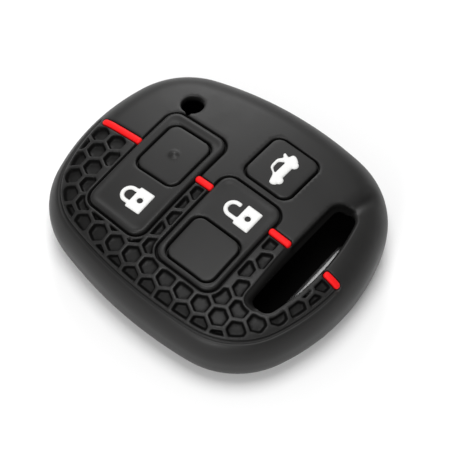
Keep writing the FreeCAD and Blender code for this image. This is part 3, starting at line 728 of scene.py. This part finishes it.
def make_sleeve():
    """The cover: its outside and its lining, joined round every opening."""
    skin = Skin()
    holes = [slot, lamp, *openings.values()]
    steep, crisp = slot.rings(SLOT_STEEP_SECTION), slot.rings(SLOT_CRISP_SECTION)
    shaped = [(ledge, LEDGE_SECTION), (lamp, OPENING_SECTION), (notch, NOTCH_SECTION)]
    shaped += [(field, FIELD_SECTION) for field in fields]
    shaped += [(opening, OPENING_SECTION) for opening in openings.values()]
    shaped += [(bed, STRIPE_BED_SECTION) for bed in beds]
    plain = plain_points([*shaped, (slot, SLOT_CRISP_SECTION)])
    free = [clear_of_groove(plain), cell_rings(), rim_lines(),
            steep[steep.imag > STRIPE_EDGE], crisp[crisp.imag <= STRIPE_EDGE]]
    free += [shape.rings(pairs) for shape, pairs in shaped]
    outer = top_skin(skin, 0, holes, np.concatenate(free))
    lining = top_skin(skin, WALL, holes, fill_points(LINING_STEP))
    # Seen from outside, the edges at the mouth and the back run the other way, so the two change places
    lining.append(side_skin(skin, 0, SIDE_STEPS, MOUTH_SECTION))
    outer.append(side_skin(skin, WALL, LINING_STEPS, PLAIN_SECTION))
    lining.append(base_skin(skin, 0, MOUTH_SECTION))
    outer.append(base_skin(skin, WALL, PLAIN_SECTION))
    for upper, lower in zip(outer, lining):
        skin.walls(upper, lower)
    skin.piece("cover_skin", black, "cover", "sleeve")


def plug(name, shape, free, upper, lower, finish, body, *nodes):
    """A closed piece over a shape in plan, between two surfaces."""
    skin = Skin()
    loops = shape.loops()
    free = free[shape.distance(free) < -RING_LEAST / 2]
    plan, faces, marks = triangulate(loops, free)
    faces = faces[shape.distance(plan[faces].mean(1)) < 0]
    high = skin.add(upper(plan), faces)
    low = skin.add(lower(plan), faces, turned=True)
    for loop in marks:
        skin.walls([low + mark for mark in loop], [high + mark for mark in loop])
    skin.piece(name, finish, body, *nodes)


def make_key(key, level):
    """A key pad with a rounded edge, and a boss below it to press the switch."""
    pad = block(*PADS[key], PAD_CORNER_RADIUS)
    x_low, x_high, y_low, y_high = PADS[key]
    middle = complex(x_low + x_high, y_low + y_high) / 2
    nib = NIB_HEIGHT if key == "lock" else 0

    def upper(plan):
        bump = nib * smooth(1 - abs(plan - middle) / NIB_RADIUS)
        return lay(plan, level + section(pad.distance(plan), PAD_SECTION) + bump)

    def lower(plan):
        boss = BOSS_HEIGHT * smooth((BOSS_RADIUS - abs(plan - middle)) / BOSS_ROUND)
        return lay(plan, -boss, WALL)

    spokes = np.exp(2j * math.pi * np.arange(CELL_SPOKES) / CELL_SPOKES)
    rings = [[middle], *(middle + NIB_RADIUS * share * spokes for share in NIB_SHARES)] if nib else []
    plain = plain_points([(pad, PAD_SECTION)])
    plain = plain[abs(plain - middle) > NIB_RADIUS] if nib else plain
    free = np.concatenate([plain, pad.rings(PAD_SECTION), *rings])
    plug(key + "_pad", pad, free, upper, lower, black, key + "_key", key + "_button")


def make_web(key):
    """The thin skin round a key, which sags a little between the key and the cover."""
    opening = openings[key]
    skin = Skin()
    loops = []
    for offset, sag in WEB_SECTION:
        plan = opening.ring(offset)
        first = skin.add(lay(plan, -sag, WALL - WEB_THICKNESS), [])
        loops.append(range(first, first + len(plan)))
    for one, following in zip(loops, loops[1:] + loops[:1]):
        skin.walls(one, following)
    skin.piece(key + "_skin", black, "cover", key + "_web")


def make_inlay(name, shape, free, pairs, level, finish, body):
    """A coloured piece with a rounded top, filled into the skin."""

    def upper(plan):
        return lay(plan, level + section(shape.distance(plan), pairs))

    def lower(plan):
        return lay(plan, level - INLAY_DEPTH)

    plug(name + "_inlay", shape, free, upper, lower, finish, body, name)


def make_stripe(name):
    """A red bar in its bed."""
    bar = block(*STRIPES[name], STRIPE_RADIUS)
    free = np.concatenate([fill_points(FILL_STEP), bar.rings(STRIPE_SECTION)])
    make_inlay(name, bar, free, STRIPE_SECTION, 0, red, "cover")


# White symbols: drawn upright, then turned so that their top points to the blade end

SYMBOL_STEP, SYMBOL_FILL, SYMBOL_ROUND = 0.12, 0.25, 0.3
ROUND_SHARE, ROUND_POINTS, ARC_POINTS = 0.48, 5, 19
SYMBOL_SECTION = ((-0.55, 0.30), (-0.36, 0.28), (-0.2, 0.22), (-0.1, 0.13), (-0.03, 0.03), (0.0, -0.1))
LOCK_PLACE, UNLOCK_PLACE, TRUNK_PLACE = -10.3 - 9.3j, 6.0 - 0.9j, 5.5 + 10.6j
PADLOCK_HALF, PADLOCK_HEIGHT, SHACKLE_RADIUS, SHACKLE_LINE = 2.2, 3.1, 1.7, 0.8
SHACKLE_LEG, SHACKLE_LIFT, KEYHOLE_RADIUS, KEYHOLE_TURN = 0.7, 0.8, 0.5, 340
CAR_LENGTH, CAR_HEIGHT, CAR_ROUND = 7.2, 3.8, 0.35
CAR_SHARES = ((.06, .16), (0, .30), (.01, .50), (.12, .56), (.26, .65), (.36, .95), (.46, 1.0),
              (.66, 1.0), (.78, .82), (.84, .96), (.92, .94), (.86, .66), (.97, .62), (1.0, .48),
              (.97, .34), (.90, .16))
WHEEL_RADIUS_SHARE, WHEEL_PLACE_SHARES, WHEEL_LEAN = 0.21, (0.77, 0.20), -14
WINDOW_SHARES = ((.30, .60), (.40, .84), (.60, .85), (.70, .60))


class Figure:
    """A flat figure of any closed outlines; those inside another are holes in it."""

    def __init__(self, outlines, place):
        self.outlines = []
        for number, outline in enumerate(outlines):
            loop = place + 1j * dense(outline)
            area = (loop.conj() * np.roll(loop, -1)).imag.sum()
            self.outlines.append(loop if (area > 0) == (number == 0) else loop[::-1])

    def loops(self):
        return self.outlines

    def distance(self, plan):
        nearest = np.full(plan.shape, np.inf)
        inside = np.zeros(plan.shape, bool)
        for outline in self.outlines:
            inside ^= inside_loop(outline, plan)
            for start, end in zip(outline, np.roll(outline, -1)):
                nearest = np.minimum(nearest, to_line(plan, start, end))
        return np.where(inside, -nearest, nearest)

    def rings(self, pairs):
        """Points inside the edge at each distance of a cross-section."""
        found = []
        for outline in self.outlines:
            way = np.roll(outline, -1) - np.roll(outline, 1)
            for distance, _ in pairs:
                for side in (1j, -1j):
                    points = outline + side * way / abs(way) * distance
                    found.append(points[abs(self.distance(points) - distance) < SYMBOL_STEP / 3])
        return np.concatenate(found)


def dense(outline):
    """An outline with points close together."""
    loop = []
    for start, end in zip(outline, np.roll(outline, -1)):
        count = max(1, math.ceil(abs(end - start) / SYMBOL_STEP))
        loop.extend(start + (end - start) * np.arange(count) / count)
    return np.array(loop)


def rounded(corners, radius):
    """An outline through some corners, each rounded off."""
    corners = np.asarray(corners, complex)
    loop = []
    for before, corner, after in zip(np.roll(corners, 1), corners, np.roll(corners, -1)):
        back, ahead = before - corner, after - corner
        start = corner + back * min(radius / abs(back), ROUND_SHARE)
        end = corner + ahead * min(radius / abs(ahead), ROUND_SHARE)
        share = np.linspace(0, 1, ROUND_POINTS)
        loop.extend((1 - share) ** 2 * start + 2 * share * (1 - share) * corner + share ** 2 * end)
    return np.array(loop)


def arc(middle, radius, start, end):
    """Points along part of a circle, between two turns in degrees."""
    return list(middle + radius * np.exp(1j * np.radians(np.linspace(start, end, ARC_POINTS))))


def padlock(is_open):
    """A padlock with a keyhole; an open one has its shackle lifted off on one side."""
    bend = 1j * (SHACKLE_LEG + is_open * SHACKLE_LIFT)
    inner = SHACKLE_RADIUS - SHACKLE_LINE
    keyhole = np.array(arc(-0.5j * PADLOCK_HEIGHT, KEYHOLE_RADIUS, 0, KEYHOLE_TURN))
    bow = arc(bend, SHACKLE_RADIUS, 0, 180)
    if is_open:
        free_end = 1j * SHACKLE_LIFT
        hook = [-inner, *arc(bend, inner, 180, 0), inner + free_end, SHACKLE_RADIUS + free_end, *bow]
        holes = [keyhole]
    else:
        hook = [SHACKLE_RADIUS, *bow]
        holes = [np.array([-inner, inner, *arc(bend, inner, 0, 180)]), keyhole]
    box = [complex(-PADLOCK_HALF, -PADLOCK_HEIGHT), complex(PADLOCK_HALF, -PADLOCK_HEIGHT), PADLOCK_HALF]
    return [rounded([*box, *hook, -SHACKLE_RADIUS, -PADLOCK_HALF], SYMBOL_ROUND), *holes]


def car():
    """A car seen from the side, with a window."""

    def at(along, up):
        return complex((along - 0.5) * CAR_LENGTH, (up - 0.5) * CAR_HEIGHT)

    body = [at(*share) for share in CAR_SHARES]
    for share in WHEEL_PLACE_SHARES:
        hub = at(share, WHEEL_RADIUS_SHARE)
        body.extend(arc(hub, WHEEL_RADIUS_SHARE * CAR_HEIGHT, WHEEL_LEAN, -180 - WHEEL_LEAN))
    window = [at(*share) for share in WINDOW_SHARES]
    return [rounded(body, CAR_ROUND), rounded(window, CAR_ROUND)]


def make_symbol(name, outlines, place, level, body):
    """A white figure on a field or a key."""
    figure = Figure(outlines, place)
    free = np.concatenate([fill_points(SYMBOL_FILL), figure.rings(SYMBOL_SECTION)])
    edge = np.concatenate(figure.outlines)
    free = free[(free.real > edge.real.min()) & (free.real < edge.real.max())
                & (free.imag > edge.imag.min()) & (free.imag < edge.imag.max())]
    make_inlay(name, figure, free, SYMBOL_SECTION, level, white, body)


# Finishes

CLOUD_SCALE, CLOUD_DETAIL, CLOUD_POLISH = 160.0, 4, 0.16
GRAIN_SCALE, GRAIN_DETAIL, GRAIN_POLISH = 5200.0, 2, 0.1
NOISE_MIDDLE = 0.5
# Painted shade in recesses: share of black mixed into the colour, with its roughness and specular
RECESS_SHADE, RECESS_ROUGHNESS, RECESS_SPECULAR, NO_LIGHT = 0.65, 0.8, 0.03, (0, 0, 0, 1)


class Socket:
    """A shader value; sums with it add Math nodes."""

    def __init__(self, finish, output):
        self.finish, self.output = finish, output

    def maths(self, operation, first, second):
        return self.finish.node("ShaderNodeMath", {"operation": operation}, {0: first, 1: second})

    def __add__(self, other):
        return self.maths("ADD", self, other)

    def __sub__(self, other):
        return self.maths("SUBTRACT", self, other)

    def __rsub__(self, other):
        return self.maths("SUBTRACT", other, self)

    def __mul__(self, other):
        return self.maths("MULTIPLY", self, other)

    __radd__, __rmul__ = __add__, __mul__


class Finish:
    """A material built of nodes; a piece's finish has the name of its slot in the record."""

    def __init__(self, slot_name):
        self.material = bpy.data.materials.new(slot_name)
        self.material["slot"] = slot_name
        self.material.use_nodes = True
        self.tree = self.material.node_tree
        self.tree.nodes.clear()
        self.end = self.tree.nodes.new("ShaderNodeOutputMaterial")

    def show(self, surface):
        self.tree.links.new(surface.output, self.end.inputs["Surface"])
        return self.material

    def node(self, kind, settings, inputs, output=0):
        made = self.tree.nodes.new(kind)
        for name, value in settings.items():
            setattr(made, name, value)
        for name, value in inputs.items():
            if isinstance(value, Socket):
                self.tree.links.new(value.output, made.inputs[name])
            else:
                made.inputs[name].default_value = value
        return Socket(self, made.outputs[output])

    def noise(self, place, scale, detail):
        inputs = {"Vector": place, "Scale": scale, "Detail": detail}
        return self.node("ShaderNodeTexNoise", {}, inputs, "Fac")

    def blend(self, share, first, second):
        return self.node("ShaderNodeMix", {"data_type": "RGBA"}, {0: share, 6: first, 7: second}, 2)


def rubber(slot_name, deep, pale, roughness, specular, grain_height):
    """Soft moulded rubber: cloudy colour, uneven polish, a fine grain and matt recesses darkened with
    painted shade.
    """
    finish = Finish(slot_name)
    place = finish.node("ShaderNodeTexCoord", {}, {}, "Object")
    cloud = finish.noise(place, CLOUD_SCALE, CLOUD_DETAIL)
    grain = finish.noise(place, GRAIN_SCALE, GRAIN_DETAIL)
    bump = finish.node("ShaderNodeBump", {}, {"Strength": 1.0, "Distance": grain_height, "Height": grain})
    colour = finish.blend(cloud, deep, pale)
    polish = roughness + (cloud - NOISE_MIDDLE) * CLOUD_POLISH + (grain - NOISE_MIDDLE) * GRAIN_POLISH
    skin = finish.node("ShaderNodeBsdfPrincipled", {}, {
        "Base Color": colour, "Roughness": polish, "Normal": bump, "Specular IOR Level": specular})
    # A darker, matt copy of the rubber that paints shade, mixed in by the shade attribute
    recess = finish.node("ShaderNodeBsdfPrincipled", {}, {
        "Base Color": finish.blend(RECESS_SHADE, colour, NO_LIGHT), "Roughness": RECESS_ROUGHNESS,
        "Normal": bump, "Specular IOR Level": RECESS_SPECULAR})
    shades = finish.node("ShaderNodeAttribute", {"attribute_name": SHADE_NAME}, {}, "Fac")
    return finish.show(finish.node("ShaderNodeMixShader", {}, {0: shades, 1: skin, 2: recess}))


black = rubber("black_silicone", deep=(0.0072, 0.0070, 0.0068, 1), pale=(0.0112, 0.0109, 0.0106, 1),
               roughness=0.45, specular=0.27, grain_height=6e-6)
red = rubber("red_silicone", deep=(0.68, 0.005, 0.006, 1), pale=(0.78, 0.007, 0.009, 1),
             roughness=0.5, specular=0.15, grain_height=3e-6)
white = rubber("white_silicone", deep=(0.66, 0.66, 0.65, 1), pale=(0.74, 0.74, 0.73, 1),
               roughness=0.5, specular=0.2, grain_height=3e-6)

make_sleeve()
for key_name, pad_level in PAD_LEVELS.items():
    make_key(key_name, pad_level)
    make_web(key_name)
for stripe_name in STRIPES:
    make_stripe(stripe_name)
make_symbol("lock_symbol", padlock(False), LOCK_PLACE, FIELD_LEVEL, "cover")
make_symbol("unlock_symbol", padlock(True), UNLOCK_PLACE, FIELD_LEVEL, "cover")
make_symbol("trunk_symbol", car(), TRUNK_PLACE, TRUNK_LEVEL, "trunk_key")


# Stage: a white table in a white room, with soft lights behind the cover, before it and above it

TABLE_HALF, TABLE_COLOUR = 1.2, (0.86, 0.86, 0.86, 1)
ROOM_COLOUR, ROOM_STRENGTH = (1, 1, 1, 1), 0.48
EYE = Vector((0.11441, -0.13453, 0.29765))
LOOK = Vector((-0.33052, 0.39528, -0.85704))
SENSOR_WIDTH, LENS, CLIP_START = 36, 160, 0.01
AIM = Vector((0, 0, 0.008))


def make_floor():
    mesh = bpy.data.meshes.new("table")
    corners = [(x, y, 0) for x, y in ((-1, -1), (1, -1), (1, 1), (-1, 1))]
    mesh.from_pydata([TABLE_HALF * Vector(corner) for corner in corners], [], [(0, 1, 2, 3)])
    floor = bpy.data.objects.new("table", mesh)
    bpy.context.scene.collection.objects.link(floor)
    paint = Finish("table_white")
    surface = paint.node("ShaderNodeBsdfDiffuse", {}, {"Color": TABLE_COLOUR})
    mesh.materials.append(paint.show(surface))


def make_light(name, place, size, power):
    """A round soft light that points at the cover."""
    light_data = bpy.data.lights.new(name, "AREA")
    light_data.shape = "DISK"
    light_data.size = size
    light_data.energy = power
    light = bpy.data.objects.new(name, light_data)
    light.location = place
    light.rotation_euler = (AIM - Vector(place)).to_track_quat("-Z", "Y").to_euler()
    bpy.context.scene.collection.objects.link(light)


def make_camera():
    lens = bpy.data.cameras.new("camera")
    lens.sensor_width = SENSOR_WIDTH
    lens.lens = LENS
    lens.clip_start = CLIP_START
    camera = bpy.data.objects.new("camera", lens)
    camera.location = EYE
    camera.rotation_euler = LOOK.to_track_quat("-Z", "Y").to_euler()
    bpy.context.scene.collection.objects.link(camera)
    bpy.context.scene.camera = camera


def make_room():
    room = bpy.data.worlds.new("studio")
    room.use_nodes = True
    background = room.node_tree.nodes["Background"]
    background.inputs["Color"].default_value = ROOM_COLOUR
    background.inputs["Strength"].default_value = ROOM_STRENGTH
    bpy.context.scene.world = room


make_floor()
make_light("back_softbox", place=(-0.29, 0.34, 0.28), size=0.2, power=1.0)
make_light("front_softbox", place=(0.10, -0.42, 0.25), size=0.25, power=1.1)
make_light("top_softbox", place=(0.0, 0.0, 0.5), size=0.25, power=1.4)
make_camera()
make_room()
bpy.context.scene.view_settings.view_transform = "Standard"
